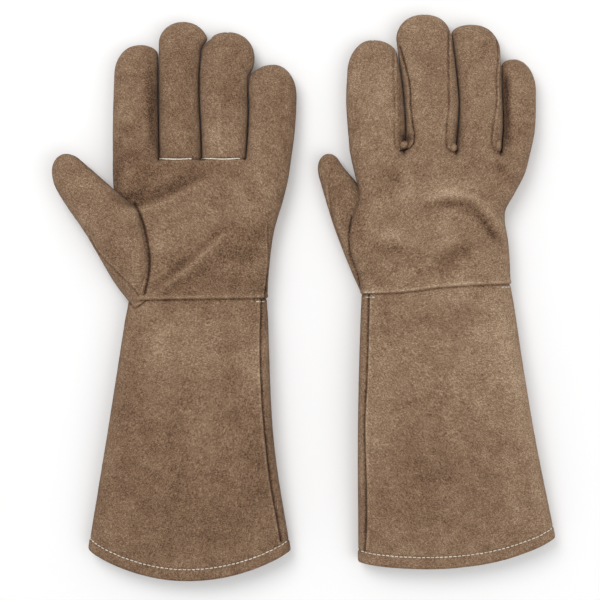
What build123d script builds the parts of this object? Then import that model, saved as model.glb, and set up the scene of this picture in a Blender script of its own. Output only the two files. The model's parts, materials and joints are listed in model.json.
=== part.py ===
from build123d import *

import os
from dataclasses import dataclass
from math import atan, cos, degrees, radians, sin, tan

# A pair of long suede welding gauntlets lying side by side on a table, in millimetres.
# +Y runs from the cuffs to the fingertips, +Z is up, and the tabletop is Z = 0.
# The left glove lies palm up, the right glove palm down, so both thumbs point to -X.
# Every glove is a leather shell over a sewn-in lining, hollow from the mouth to each tip.
# The leather bends at the wrist seam and at two places in each digit, so the panels
# are divided there, with a V of clearance on each side that folds shut.

# ---- Overall sizes ----
PALM_LENGTH = 102.0  # from the wrist seam to the crotch line between the fingers
CUFF_LENGTH = 203.6  # from the wrist seam to the middle of the mouth
HAND_DEPTH = 26.0  # depths are through the flattened gloves
CUFF_DEPTH = 30.0
FINGER_DEPTH = 22.0
THUMB_DEPTH = 24.0

# ---- Materials and clearances ----
LEATHER = 1.3  # split-leather shell
HAND_LINING = 1.6  # fleece in the hand and digits
CUFF_LINING = 1.0  # canvas in the gauntlet
LAYER_GAP = 0.15  # between leather and lining
SEAM_GAP = 0.1  # between two panels that are sewn edge to edge
BEND_GAP = 0.6  # between two parts of a digit, at the bending line
SPARE_ANGLE = 2.0  # degrees of clearance left in a fully closed V
EDGE_ROOM = 0.3  # what a rounded edge leaves of the half depth
THUMB_CLEARANCE = 0.8  # between the bending thumb and the side of the hand

# ---- Seams ----
FORK_WIDTH = 7.0  # side strips sewn between the back and the palm of each finger
SEAM_SHIFT = 9.0  # how far each cuff seam lies above or below mid-depth, at the wrist
HAND_SEAM_HEIGHT = HAND_DEPTH / 2 - 1.0
CUFF_SEAM_HEIGHT = CUFF_DEPTH / 2
WELT_THICK = 1.4
WELT_PROUD = 1.2
THREAD_WIDE = 0.9
THREAD_PROUD = 0.5
THREAD_SUNK = 0.6  # the finger seam's stitches lie in the palm panel
HEM_TO_THREAD = 8.0  # the hem line of stitches, from the edge of the mouth
WRIST_TO_THREAD = 1.0  # the wrist line of stitches, from the edge of the cuff
SEAM_TO_THREAD = 3.5  # the finger seam's stitches, from the crotch line
SLIT_WIDTH = 0.9  # between two fingers at their roots

# ---- Bending ----
WRIST_BEND = 40.0  # each way
BACK_BEND = 10.0  # a digit's knuckle, backwards
KNUCKLE_BEND = 80.0
MIDDLE_BEND = 90.0
THUMB_BEND = 60.0
THUMB_TIP_BEND = 70.0
KNUCKLE_UP = 8.0  # from the crotch line between the fingers to the knuckle line

REACH = 500.0  # larger than anything here, for cutting blocks


@dataclass
class Digit:
    """A finger or thumb: a tapered, flattened tube with a round tip."""

    name: str
    root: tuple  # middle of its root circle, from the middle of the wrist seam
    root_width: float
    tip_width: float
    reach: float  # from the root's centre to the end of the tip
    lean: float  # degrees to the left of +Y
    depth: float
    rest: float  # height of its underside above the table
    knuckle: float  # the two bending lines, from the root's centre
    middle: float
    knuckle_bend: float
    middle_bend: float
    forks: tuple  # which sides have a side strip: -1 is -X, +1 is +X

    def frame(self):
        """The digit's own plane: x across it, y along it, z up, at mid-depth."""
        x, y = self.root
        turn = radians(self.lean)
        return Plane(
            origin=(x, y, self.rest + self.depth / 2),
            x_dir=(cos(turn), sin(turn), 0),
            z_dir=(0, 0, 1),
        )

    def root_mitre(self):
        """Degrees from upright of the cut on the hand's side of the knuckle."""
        if self.name == "thumb":
            return self.knuckle_bend / 2
        return degrees(atan(KNUCKLE_UP / (self.depth / 2)))


@dataclass
class Tube:
    """The hand or the cuff: a flattened tube between two sides, each an arc.

    Both arcs are given by three points and run past the ends, which are cut later.
    """

    left: tuple
    right: tuple
    depth: float


@dataclass
class Glove:
    side: str
    palm_up: int  # +1 if the palm faces up, -1 if it faces down
    wrist: tuple  # where the middle of its wrist seam lies
    crotch: float  # from the wrist seam to the line between the fingers
    hand: Tube
    cuff: Tube
    hem: tuple  # three points of the arc of the mouth
    slots: tuple  # middle of each slit between two fingers, on the crotch line
    digits: list


def finger(name, left, right, tip_width, reach, lean, crotch, middle, forks):
    """A finger between left and right, the middles of its slits at the crotch line."""
    return Digit(
        name=name,
        root=((left + right) / 2, crotch),
        root_width=right - left - SLIT_WIDTH,
        tip_width=tip_width,
        reach=reach,
        lean=lean,
        depth=FINGER_DEPTH,
        rest=0.0,
        knuckle=KNUCKLE_UP,
        middle=middle,
        knuckle_bend=KNUCKLE_BEND,
        middle_bend=MIDDLE_BEND,
        forks=forks,
    )


def thumb(root, root_width, tip_width, reach, lean, rest, knuckle, middle):
    """A thumb, set into the side of the hand from its root circle on."""
    return Digit(
        name="thumb",
        root=root,
        root_width=root_width,
        tip_width=tip_width,
        reach=reach,
        lean=lean,
        depth=THUMB_DEPTH,
        rest=rest,
        knuckle=knuckle,
        middle=middle,
        knuckle_bend=THUMB_BEND,
        middle_bend=THUMB_TIP_BEND,
        forks=(),
    )


LEFT_CROTCH = PALM_LENGTH
LEFT_SLITS = (-29.3, 4.2, 36.4)
LEFT = Glove(
    side="left",
    palm_up=1,
    wrist=(-79.4, -1.8),
    crotch=LEFT_CROTCH,
    hand=Tube(
        left=((-48.5, -20.0), (-59.5, LEFT_CROTCH / 2), (-62.5, LEFT_CROTCH + 30.0)),
        right=((50.0, -20.0), (56.0, LEFT_CROTCH / 2), (73.0, LEFT_CROTCH + 30.0)),
        depth=HAND_DEPTH,
    ),
    cuff=Tube(
        left=((-48.5, 20.0), (-65.5, -CUFF_LENGTH / 2), (-87.5, -CUFF_LENGTH - 22.0)),
        right=((50.5, 20.0), (54.0, -CUFF_LENGTH / 2), (75.0, -CUFF_LENGTH - 22.0)),
        depth=CUFF_DEPTH,
    ),
    hem=(
        (-80.0, 22.1 - CUFF_LENGTH),
        (-9.5, -CUFF_LENGTH),
        (67.0, 21.6 - CUFF_LENGTH),
    ),
    slots=LEFT_SLITS,
    digits=[
        finger("index", -61.8, LEFT_SLITS[0], 31.4, 83.6, -0.4, LEFT_CROTCH, 41.0, (1,)),
        finger("middle", *LEFT_SLITS[:2], 32.4, 100.4, -0.9, LEFT_CROTCH, 47.0, (-1, 1)),
        finger("ring", *LEFT_SLITS[1:], 31.8, 93.0, -1.8, LEFT_CROTCH, 44.0, (-1, 1)),
        finger("little", LEFT_SLITS[2], 67.6, 31.0, 69.0, -3.2, LEFT_CROTCH, 34.0, (-1,)),
        thumb((-56.0, 32.0), 42.0, 26.0, 82.0, 31.2, 8.0, 45.0, 62.0),
    ],
)

RIGHT_CROTCH = PALM_LENGTH - 1.5
RIGHT_SLITS = (-24.6, 13.2, 47.0)
RIGHT = Glove(
    side="right",
    palm_up=-1,
    wrist=(93.9, 6.2),
    crotch=RIGHT_CROTCH,
    hand=Tube(
        left=((-53.0, -20.0), (-60.0, RIGHT_CROTCH / 2), (-65.5, RIGHT_CROTCH + 30.0)),
        right=((56.0, -20.0), (54.0, RIGHT_CROTCH / 2), (77.0, RIGHT_CROTCH + 30.0)),
        depth=HAND_DEPTH,
    ),
    cuff=Tube(
        left=((-54.0, 20.0), (-58.2, -CUFF_LENGTH / 2), (-59.6, -CUFF_LENGTH - 22.0)),
        right=((54.0, 20.0), (70.0, -CUFF_LENGTH / 2), (97.0, -CUFF_LENGTH - 22.0)),
        depth=CUFF_DEPTH,
    ),
    hem=(
        (-59.0, 2.6 - CUFF_LENGTH),
        (12.0, -1.8 - CUFF_LENGTH),
        (89.5, 20.6 - CUFF_LENGTH),
    ),
    slots=RIGHT_SLITS,
    digits=[
        finger("index", -63.4, RIGHT_SLITS[0], 37.2, 80.8, 1.4, RIGHT_CROTCH, 40.0, (1,)),
        finger("middle", *RIGHT_SLITS[:2], 36.6, 99.0, 1.6, RIGHT_CROTCH, 46.0, (-1, 1)),
        finger("ring", *RIGHT_SLITS[1:], 32.4, 91.8, 0.5, RIGHT_CROTCH, 43.0, (-1, 1)),
        finger("little", RIGHT_SLITS[2], 71.8, 24.8, 66.2, -1.4, RIGHT_CROTCH, 33.0, (-1,)),
        thumb((-48.0, 24.0), 36.0, 25.0, 80.0, 24.5, 0.0, 47.0, 62.0),
    ],
)


# ---- Cutting regions ----


def side_plane(frame):
    """The upright plane along a frame's y axis: its x is the frame's y, its y is up."""
    return Plane(origin=frame.origin, x_dir=frame.y_dir, z_dir=frame.x_dir)


def bend_region(frame, along, palm_up, palm_angle, back_angle, beyond):
    """Everything on one side of a bending line, cut back by an angle towards each face."""
    way = 1 if beyond else -1
    start = along + way * BEND_GAP / 2
    tall = REACH / 4
    palm_far = start + way * tall * tan(radians(palm_angle))
    back_far = start + way * tall * tan(radians(back_angle))
    end = along + way * REACH
    with BuildPart() as region:
        with BuildSketch(side_plane(frame)):
            with BuildLine():
                Polyline(
                    (start, 0),
                    (palm_far, palm_up * tall),
                    (end, palm_up * tall),
                    (end, -palm_up * tall),
                    (back_far, -palm_up * tall),
                    close=True,
                )
            make_face()
        extrude(amount=REACH, both=True)
    return region.part


def strip_region(frame, low, high, side):
    """A level slab between two heights, on one side of a frame's y axis (0 is both)."""
    wide = REACH if side else 2 * REACH
    with BuildPart() as region:
        with BuildSketch(frame.offset(low)):
            with Locations((side * REACH / 2, 0)):
                Rectangle(wide, 2 * REACH)
        extrude(amount=high - low)
    return region.part


# ---- Tubes ----


def tube_solid(tube, inset):
    """A flattened tube with rounded sides, smaller by the inset all round."""
    depth = tube.depth - 2 * inset
    with BuildPart() as body:
        with BuildSketch(Plane.XY.offset(inset)):
            with BuildLine():
                ThreePointArc(*tube.left)
                Line(tube.left[-1], (tube.right[-1][0], tube.left[-1][1]))
                ThreePointArc(*tube.right)
                Line(tube.right[0], tube.left[0])
            make_face()
            offset(amount=-inset, kind=Kind.INTERSECTION, mode=Mode.REPLACE)
        extrude(amount=depth)
        edges = body.faces().filter_by(Axis.Z).edges()
        fillet(edges.filter_by(Axis.X, reverse=True), depth / 2 - EDGE_ROOM)
    return body.part


def digit_solid(digit, inset):
    """A whole digit, from behind its root to its tip, smaller by the inset all round."""
    depth = digit.depth - 2 * inset
    root_radius = digit.root_width / 2 - inset
    tip_radius = digit.tip_width / 2 - inset
    with BuildPart() as body:
        with BuildSketch(digit.frame().offset(-depth / 2)):
            Circle(root_radius)
            with Locations((0, digit.reach - digit.tip_width / 2)):
                Circle(tip_radius)
            make_hull()
        extrude(amount=depth)
        faces = body.faces().filter_by(Axis.Z)
        fillet(faces.edges(), min(depth / 2, root_radius, tip_radius) - EDGE_ROOM)
    return body.part


# ---- Digits ----


def digit_layers(digit):
    """The leather and the lining of a whole digit, as two hollow shells."""
    lining_out = LEATHER + LAYER_GAP
    with BuildPart() as leather:
        add(digit_solid(digit, 0))
        add(digit_solid(digit, LEATHER), mode=Mode.SUBTRACT)
    with BuildPart() as lining:
        add(digit_solid(digit, lining_out))
        add(digit_solid(digit, lining_out + HAND_LINING), mode=Mode.SUBTRACT)
    return leather.part, lining.part


def digit_region(digit, glove, part):
    """Where the base or the tip of a digit lies, between its bending lines."""
    frame = digit.frame()
    up = glove.palm_up
    root_mitre = digit.knuckle_bend - digit.root_mitre() + SPARE_ANGLE
    middle_mitre = (digit.middle_bend + SPARE_ANGLE) / 2
    back_mitre = (BACK_BEND + SPARE_ANGLE) / 2
    if part == "tip":
        return bend_region(frame, digit.middle, up, middle_mitre, 0, True)
    with BuildPart() as region:
        add(bend_region(frame, digit.knuckle, up, root_mitre, back_mitre, True))
        add(
            bend_region(frame, digit.middle, up, middle_mitre, 0, False),
            mode=Mode.INTERSECT,
        )
    return region.part


def digit_leather(digit, glove, shell, part):
    """The back, the palm face and the side strips of one part of a digit."""
    frame = digit.frame()
    up = glove.palm_up
    half = FORK_WIDTH / 2
    with BuildPart() as whole:
        add(shell)
        add(digit_region(digit, glove, part), mode=Mode.INTERSECT)
    pieces = []
    for face in (up, -up):
        with BuildPart() as panel:
            add(whole.part)
            low, high = sorted((face * SEAM_GAP / 2, face * REACH))
            add(strip_region(frame, low, high, 0), mode=Mode.INTERSECT)
            for side in digit.forks:
                add(strip_region(frame, -half, half, side), mode=Mode.SUBTRACT)
        pieces += largest(panel.solids())
    for side in digit.forks:
        with BuildPart() as fork:
            add(whole.part)
            strip = strip_region(frame, SEAM_GAP - half, half - SEAM_GAP, side)
            add(strip, mode=Mode.INTERSECT)
        pieces += fork.solids()
    return pieces


def digit_lining(digit, glove, shell, part):
    """The fleece inside one part of a digit."""
    with BuildPart() as lining:
        add(shell)
        add(digit_region(digit, glove, part), mode=Mode.INTERSECT)
    return lining.solids()


# ---- Hand ----


def finger_column(glove, digit, left, right):
    """What lies beyond one finger's knuckle line, between its two slits."""
    line = bend_region(
        digit.frame(),
        digit.knuckle,
        glove.palm_up,
        digit.root_mitre(),
        (BACK_BEND + SPARE_ANGLE) / 2,
        False,
    )
    with BuildPart() as column:
        with BuildSketch(Plane.XY):
            with Locations(((left + right) / 2, 0)):
                Rectangle(right - left, 2 * REACH)
        extrude(amount=REACH, both=True)
        add(line, mode=Mode.SUBTRACT)
    return column.part


def wrist_region(glove, along, beyond):
    """One side of the V at the wrist seam, moved along the glove."""
    wrist = Plane(origin=(0, 0, glove.hand.depth / 2))
    mitre = (WRIST_BEND + SPARE_ANGLE) / 2
    return bend_region(wrist, along, 1, mitre, mitre, beyond)


def hand_region(glove):
    """From the wrist seam's V up to the four knuckles, with the slits between them."""
    edges = [-REACH, *glove.slots, REACH]
    fingers = glove.digits[:4]
    with BuildPart() as region:
        add(wrist_region(glove, 0, True))
        for digit, left, right in zip(fingers, edges[:-1], edges[1:]):
            add(finger_column(glove, digit, left, right), mode=Mode.SUBTRACT)
        for slot in glove.slots:
            with BuildSketch(Plane.XY):
                with Locations((slot, glove.crotch + REACH / 2)):
                    Rectangle(SLIT_WIDTH, REACH)
            extrude(amount=REACH, both=True, mode=Mode.SUBTRACT)
    return region.part


def stub_region(glove):
    """The part of the thumb that doesn't bend, up to its knuckle line."""
    digit = glove.digits[4]
    return bend_region(
        digit.frame(),
        digit.knuckle,
        glove.palm_up,
        digit.root_mitre(),
        (BACK_BEND + SPARE_ANGLE) / 2,
        False,
    )


def hand_panels(glove, region, thread):
    """The palm panel and the back panel, with the hole that the thumb is sewn into."""
    with BuildPart() as shell:
        add(tube_solid(glove.hand, 0))
        add(tube_solid(glove.hand, LEATHER), mode=Mode.SUBTRACT)
        add(region, mode=Mode.INTERSECT)
        add(digit_solid(glove.digits[4], -SEAM_GAP), mode=Mode.SUBTRACT)
        add(thread, mode=Mode.SUBTRACT)
    panels = []
    seam = Plane.XY.offset(HAND_SEAM_HEIGHT)
    for face in (glove.palm_up, -glove.palm_up):
        with BuildPart() as panel:
            add(shell.part)
            low, high = sorted((face * SEAM_GAP / 2, face * REACH))
            add(strip_region(seam, low, high, 0), mode=Mode.INTERSECT)
        panels.append(largest(panel.solids()))
    return panels


def thumb_stub(glove, shell):
    """The root of the thumb's leather, in its palm and back halves."""
    digit = glove.digits[4]
    halves = []
    for face in (glove.palm_up, -glove.palm_up):
        with BuildPart() as half:
            add(shell)
            add(stub_region(glove), mode=Mode.INTERSECT)
            low, high = sorted((face * SEAM_GAP / 2, face * REACH))
            add(strip_region(digit.frame(), low, high, 0), mode=Mode.INTERSECT)
            add(tube_solid(glove.hand, -SEAM_GAP), mode=Mode.SUBTRACT)
        halves += largest(half.solids())
    return halves


def hand_lining(glove, region):
    """The fleece in the hand, with the root of the thumb's."""
    digit = glove.digits[4]
    out = LEATHER + LAYER_GAP
    with BuildPart() as root:
        add(digit_solid(digit, out))
        add(stub_region(glove), mode=Mode.INTERSECT)
    with BuildPart() as lining:
        add(tube_solid(glove.hand, out))
        add(root.part)
        add(tube_solid(glove.hand, out + HAND_LINING), mode=Mode.SUBTRACT)
        add(digit_solid(digit, out + HAND_LINING), mode=Mode.SUBTRACT)
        add(region, mode=Mode.INTERSECT)
    return largest(lining.solids())


def finger_seam_thread(glove):
    """The stitches across the palm at the roots of the two middle fingers."""
    left, _, right = glove.slots
    y = glove.crotch - SEAM_TO_THREAD
    with BuildPart() as thread:
        add(tube_solid(glove.hand, 0))
        add(tube_solid(glove.hand, THREAD_SUNK), mode=Mode.SUBTRACT)
        with BuildSketch(Plane.XY.offset(HAND_SEAM_HEIGHT)):
            with Locations(((left + right) / 2, y)):
                Rectangle(right - left, THREAD_WIDE)
        extrude(amount=glove.palm_up * REACH, mode=Mode.INTERSECT)
    return thread.solids()


def largest(solids):
    """The one largest solid, without slivers cut off beside it."""
    return [max(solids, key=lambda s: s.volume)]


# ---- Cuff ----


def seam_plane(glove):
    """The tilted plane through both seams of the cuff.

    The seam on the little finger's side lies on the palm face, and the one on the
    thumb's side lies on the back.
    """
    rise = glove.palm_up * SEAM_SHIFT / abs(glove.cuff.left[0][0])
    return Plane(
        origin=(0, 0, CUFF_SEAM_HEIGHT),
        x_dir=(1, 0, rise),
        z_dir=(-rise, 0, 1),
    )


def above_hem(glove, rise):
    """Everything on the hand's side of the mouth's arc, moved up by a distance."""
    left, middle, right = [(x, y + rise) for x, y in glove.hem]
    with BuildPart() as region:
        with BuildSketch(Plane.XY):
            with BuildLine():
                ThreePointArc(left, middle, right)
                Polyline(
                    right,
                    (REACH, right[1]),
                    (REACH, REACH),
                    (-REACH, REACH),
                    (-REACH, left[1]),
                    left,
                )
            make_face()
        extrude(amount=REACH, both=True)
    return region.part


def cuff_region(glove):
    """From the wrist seam's V down to the arc of the mouth."""
    with BuildPart() as region:
        add(above_hem(glove, 0))
        add(wrist_region(glove, 0, False), mode=Mode.INTERSECT)
    return region.part


def cuff_panels(glove, region):
    """The palm panel and the back panel of the cuff, either side of the welts."""
    with BuildPart() as shell:
        add(tube_solid(glove.cuff, 0))
        add(tube_solid(glove.cuff, LEATHER), mode=Mode.SUBTRACT)
        add(region, mode=Mode.INTERSECT)
    panels = []
    for face in (glove.palm_up, -glove.palm_up):
        with BuildPart() as panel:
            add(shell.part)
            near = WELT_THICK / 2 + SEAM_GAP
            low, high = sorted((face * near, face * REACH))
            add(strip_region(seam_plane(glove), low, high, 0), mode=Mode.INTERSECT)
        panels.append(panel.solids())
    return panels


def cuff_welts(glove, region):
    """The two strips of leather sewn into the cuff's seams, standing a little proud."""
    with BuildPart() as welts:
        add(tube_solid(glove.cuff, -WELT_PROUD))
        add(tube_solid(glove.cuff, LEATHER), mode=Mode.SUBTRACT)
        add(region, mode=Mode.INTERSECT)
        half = WELT_THICK / 2
        add(strip_region(seam_plane(glove), -half, half, 0), mode=Mode.INTERSECT)
        # The underside rests on the table, so nothing stands below it.
        add(strip_region(Plane.XY, 0, REACH, 0), mode=Mode.INTERSECT)
    return welts.solids()


def cuff_lining(glove):
    """The canvas inside the cuff, which ends above the hem's stitches."""
    out = LEATHER + LAYER_GAP
    with BuildPart() as lining:
        add(tube_solid(glove.cuff, out))
        add(tube_solid(glove.cuff, out + CUFF_LINING), mode=Mode.SUBTRACT)
        add(wrist_region(glove, 0, False), mode=Mode.INTERSECT)
        add(above_hem(glove, HEM_TO_THREAD), mode=Mode.INTERSECT)
    return largest(lining.solids())


def cuff_thread(glove):
    """The two lines of stitches round the cuff: at the hem, and below the wrist seam."""
    near = WELT_THICK / 2 + SEAM_GAP
    with BuildPart() as hem_band:
        add(above_hem(glove, HEM_TO_THREAD))
        add(above_hem(glove, HEM_TO_THREAD + THREAD_WIDE), mode=Mode.SUBTRACT)
    with BuildPart() as wrist_band:
        add(wrist_region(glove, -WRIST_TO_THREAD, False))
        further = -WRIST_TO_THREAD - THREAD_WIDE
        add(wrist_region(glove, further, False), mode=Mode.SUBTRACT)
    lines = []
    for band in (hem_band, wrist_band):
        with BuildPart() as line:
            add(tube_solid(glove.cuff, -THREAD_PROUD))
            add(tube_solid(glove.cuff, 0), mode=Mode.SUBTRACT)
            add(band.part, mode=Mode.INTERSECT)
            add(strip_region(seam_plane(glove), -near, near, 0), mode=Mode.SUBTRACT)
            add(strip_region(Plane.XY, 0, REACH, 0), mode=Mode.INTERSECT)
        lines += line.solids()
    return lines


# ---- Both gloves ----


def glove_nodes(glove):
    """Every piece of one glove, by its name, still in the glove's own frame."""
    region = hand_region(glove)
    seam = finger_seam_thread(glove)
    palm, back = hand_panels(glove, region, seam)
    cuff = cuff_region(glove)
    cuff_palm, cuff_back = cuff_panels(glove, cuff)
    nodes = {
        "palm_panel": palm,
        "back_panel": back,
        "hand_lining": hand_lining(glove, region),
        "finger_seam_thread": seam,
        "cuff_palm_panel": cuff_palm,
        "cuff_back_panel": cuff_back,
        "cuff_side_welts": cuff_welts(glove, cuff),
        "cuff_lining": cuff_lining(glove),
        "cuff_thread": cuff_thread(glove),
    }
    for digit in glove.digits:
        leather, lining = digit_layers(digit)
        if digit.name == "thumb":
            nodes["thumb_root_leather"] = thumb_stub(glove, leather)
            room = tube_solid(glove.hand, -THUMB_CLEARANCE)
            leather = leather - room
            lining = lining - room
        for part in ("base", "tip"):
            name = f"{digit.name}_{part}"
            nodes[name + "_leather"] = digit_leather(digit, glove, leather, part)
            nodes[name + "_lining"] = digit_lining(digit, glove, lining, part)
    return {f"{glove.side}_{name}": solids for name, solids in nodes.items()}


def place(glove):
    """Moves a glove's own frame to where the glove lies."""
    return Location((*glove.wrist, 0))


def build():
    """Writes every piece, with the origin under the middle of the pair."""
    pieces = {}
    for glove in (LEFT, RIGHT):
        for name, solids in glove_nodes(glove).items():
            pieces[name] = [solid.moved(place(glove)) for solid in solids]
    box = Compound(children=[s for solids in pieces.values() for s in solids]).bounding_box()
    middle = box.center()
    centre = Location((-middle.X, -middle.Y, 0))
    os.makedirs("parts", exist_ok=True)
    for name, solids in pieces.items():
        node = Compound(label=name, children=[s.moved(centre) for s in solids])
        export_step(node, f"parts/{name}.step")
    print("centre", middle, "size", box.size, "files", len(pieces))


if __name__ == "__main__":
    build()
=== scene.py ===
import json
from dataclasses import dataclass
from math import ceil, cos, pi, radians, sin

import bpy
import numpy as np
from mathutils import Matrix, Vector, noise
from mathutils.bvhtree import BVHTree


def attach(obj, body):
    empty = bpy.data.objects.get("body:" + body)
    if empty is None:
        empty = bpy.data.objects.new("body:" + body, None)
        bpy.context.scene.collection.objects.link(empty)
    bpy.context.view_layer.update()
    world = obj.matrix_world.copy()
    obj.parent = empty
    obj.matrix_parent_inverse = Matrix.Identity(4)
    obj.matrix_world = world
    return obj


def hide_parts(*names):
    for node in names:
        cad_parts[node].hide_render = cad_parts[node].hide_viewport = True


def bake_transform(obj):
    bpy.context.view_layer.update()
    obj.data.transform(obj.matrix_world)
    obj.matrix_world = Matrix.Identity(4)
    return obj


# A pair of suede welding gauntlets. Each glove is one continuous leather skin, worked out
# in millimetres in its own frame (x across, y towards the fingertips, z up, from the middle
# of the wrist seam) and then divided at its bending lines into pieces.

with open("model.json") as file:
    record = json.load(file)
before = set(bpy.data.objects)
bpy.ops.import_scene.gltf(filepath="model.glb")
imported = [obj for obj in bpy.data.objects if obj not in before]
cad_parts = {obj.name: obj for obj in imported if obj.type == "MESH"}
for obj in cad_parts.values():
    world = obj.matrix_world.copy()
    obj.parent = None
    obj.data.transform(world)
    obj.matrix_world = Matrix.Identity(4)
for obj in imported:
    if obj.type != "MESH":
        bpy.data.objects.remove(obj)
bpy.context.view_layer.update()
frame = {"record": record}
JOINTS = {joint["name"]: joint for joint in frame["record"]["behaviour"]["joints"]}

MM = 0.001
NOISE_SEED = {"left": 3, "right": 8}
HEM_SEED, ROOT_SEED, TACK_SEED = 5, 7, 11
FINE = 0.5  # spacing of the rows beside a seam
STEP = 1.0  # spacing of the other rows
COLUMNS = 44  # across the top of one finger
LINING_STEP = 3.0
LINING_COLUMNS = 12
FLOOR_GAP = 0.4  # nothing is lower than this, before the leather's own waves
LINING_INSET = 2.6
CANVAS_START = 9.0  # how far inside the mouth the canvas starts
HEM_TURN = 13.0  # the hem is turned this far into the mouth
HEM_RISE = 8.0  # the hem's stitches, from the edge of the mouth
HEM_THICK = 2.2
FINGER_ROUND = 11.0  # width of the rounded side of a finger
THUMB_ROUND = 12.0
HAND_ROUND = 20.0
CUFF_ROUND = 17.0
TIP_POWER = 2.1  # 2 is a round fingertip, more is squarer
TIP_SAG = 0.25  # how far a fingertip lies below its finger's middle, as a share
SLIT_GAP = 0.3  # between a finger and the middle of its slit
FINGER_MIDDLE, MIDDLE_FALL = 11.4, 1.6  # height of the sides at the root, and how much lower at the end
FINGER_TOP, TOP_FALL = 22.0, 2.6
NEAR_SEAM = 3.5  # rows this close to a seam lie at the fine spacing
TIP_LEFT = 0.02  # how far short of its tip a digit's last row lies
PAINTED_LIP_HIGHLIGHT = 0.55  # painted highlight on a lip: how much lighter it is, for each millimetre of its height
PAINTED_SIDE_SHADE = 0.5  # painted shade on the sides, where the leather turns down: how much darker they are
PAINTED_MOUTH_SHADE = -0.2  # painted shade on the leather that is turned into the mouth
THUMB_KNUCKLE = {"left": 45.0, "right": 47.0}  # along the thumb, as in the CAD
THUMB_TIP_JOINT = 62.0
ROOT_BEFORE_KNUCKLE = 9  # the thumb's root ends this far before its knuckle

# Distances before and after each joint, given to blend_joint
WRIST_BEND = (0, 34)
KNUCKLE_BEND = (6.5, 13)
MIDDLE_BEND = (11, 11)
THUMB_KNUCKLE_BEND = (8.5, 7.5)
THUMB_TIP_BEND = (7.5, 8)

# Radius, length and gap of the stitches
HEM_STITCH = (0.38, 2.9, 0.35)
TACK_STITCH = (0.3, 2.7, 0.35)
ROOT_THREAD_RADIUS = 0.5
STITCH_SIDES = 8
STITCH_LOWEST = 0.05  # above the table


# ---- Curves ----


def through(*points):
    """A smooth function through points, each (position, value)."""
    at, value = np.array(sorted(points), float).T
    slope = np.gradient(value, at)

    def follow(t):
        t = np.clip(t, at[0], at[-1])
        i = np.clip(np.searchsorted(at, t, side="right") - 1, 0, len(at) - 2)
        span = at[i + 1] - at[i]
        u = (t - at[i]) / span
        start = (2 * u**3 - 3 * u**2 + 1) * value[i] + (u**3 - 2 * u**2 + u) * span * slope[i]
        end = (3 * u**2 - 2 * u**3) * value[i + 1] + (u**3 - u**2) * span * slope[i + 1]
        return start + end

    return follow


def smooth(value, low, high):
    """0 below low, 1 above high, and a smooth step between."""
    t = np.clip((value - low) / (high - low), 0, 1)
    return t * t * (3 - 2 * t)


def rounded(distance, reach):
    """The height of a rounded edge, from 0 at the edge to 1 where it turns flat."""
    return np.sqrt(np.clip(1 - (1 - np.clip(distance / reach, 0, 1)) ** 2, 0, 1))


def closing(share):
    """How much of a digit's width is left, from 1 where its end starts to 0 at its tip."""
    return max(1 - max(share, 0) ** TIP_POWER, 1e-4) ** (1 / TIP_POWER)


def cosine_steps(count):
    """0 to 1 in steps that are short at both ends."""
    return (1 - np.cos(np.pi * np.arange(count + 1) / count)) / 2


def polyline_offset(points, line):
    """Each point's signed distance from a line through a few points, and how far along it lies."""
    best = np.full(len(points), 1e9)
    side = np.zeros(len(points))
    along = np.zeros(len(points))
    line = np.array(line, float)
    lengths = np.linalg.norm(line[1:] - line[:-1], axis=1)
    for number, (a, b, length) in enumerate(zip(line[:-1], line[1:], lengths)):
        way = (b - a) / length
        t = np.clip((points - a) @ way, 0, length)
        apart = points - a - t[:, None] * way
        distance = np.linalg.norm(apart, axis=1)
        nearer = distance < best
        best = np.where(nearer, distance, best)
        side = np.where(nearer, np.sign(way[0] * apart[:, 1] - way[1] * apart[:, 0]), side)
        along = np.where(nearer, (lengths[:number].sum() + t) / lengths.sum(), along)
    return best, side, along


def curve_points(points, count=24):
    """A smooth line through a few points, as more points."""
    points = np.array(points, float)
    steps = np.linalg.norm(points[1:] - points[:-1], axis=1)
    at = np.concatenate([[0], np.cumsum(steps)])
    t = np.linspace(0, at[-1], count)
    return np.stack([through(*zip(at, points[:, k]))(t) for k in (0, 1)], axis=1)


# ---- The gloves' shapes ----


@dataclass
class Finger:
    name: str
    apex: tuple  # x and y of its tip
    tip: tuple  # how far below the tip each side starts to round in


@dataclass
class Thumb:
    """A tube along its own axis: s along it and o across it, from the CAD thumb's root."""

    left: object  # o of each side, by s
    right: object
    middle: object  # height of its sides, by s
    thick: object
    tilt: object  # how much higher its right side is than its left, by s
    apex: tuple  # o and s of its tip
    tip: tuple  # how far below the tip each side starts to round in
    start: float


@dataclass
class Glove:
    side: str
    palm_up: bool
    crotch: float
    wrist: object  # y of the wrist seam, by x
    hand_left: object
    hand_right: object
    cuff_left: tuple  # the cuff's corners: wrist, halfway and mouth
    cuff_right: tuple
    hem_drop: float  # how far the middle of the mouth lies below the line of its corners
    hem_lean: float  # how far the lowest point of the mouth lies towards +x, as a share
    slits: list  # between the fingers, x by y
    outer: tuple  # the outer sides of the first and last finger, x by y
    fingers: list
    thumb: Thumb
    tone: float  # how light its leather is
    hand_middle: object  # height of the hand's sides, by y
    side_lift: float  # the same, at its thumb side
    patches: list  # soft darker or lighter areas: painted shade beside slits, in creases and crotches and behind the lumps, and the nap's own uneven colour; x, y, half sizes, turn and tone


@dataclass
class Groove:
    """A seam or crease along a line, on top of the glove, with a raised lip beside it; the groove gets
    painted shade and the lip a painted highlight.
    """

    line: list
    depth: float
    width: float
    lip: float  # height of the lip
    lip_side: int
    tone: float  # how much painted shade lies in the groove
    parts: str = ""  # only these parts, or all; without them it fades out at both ends


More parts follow.
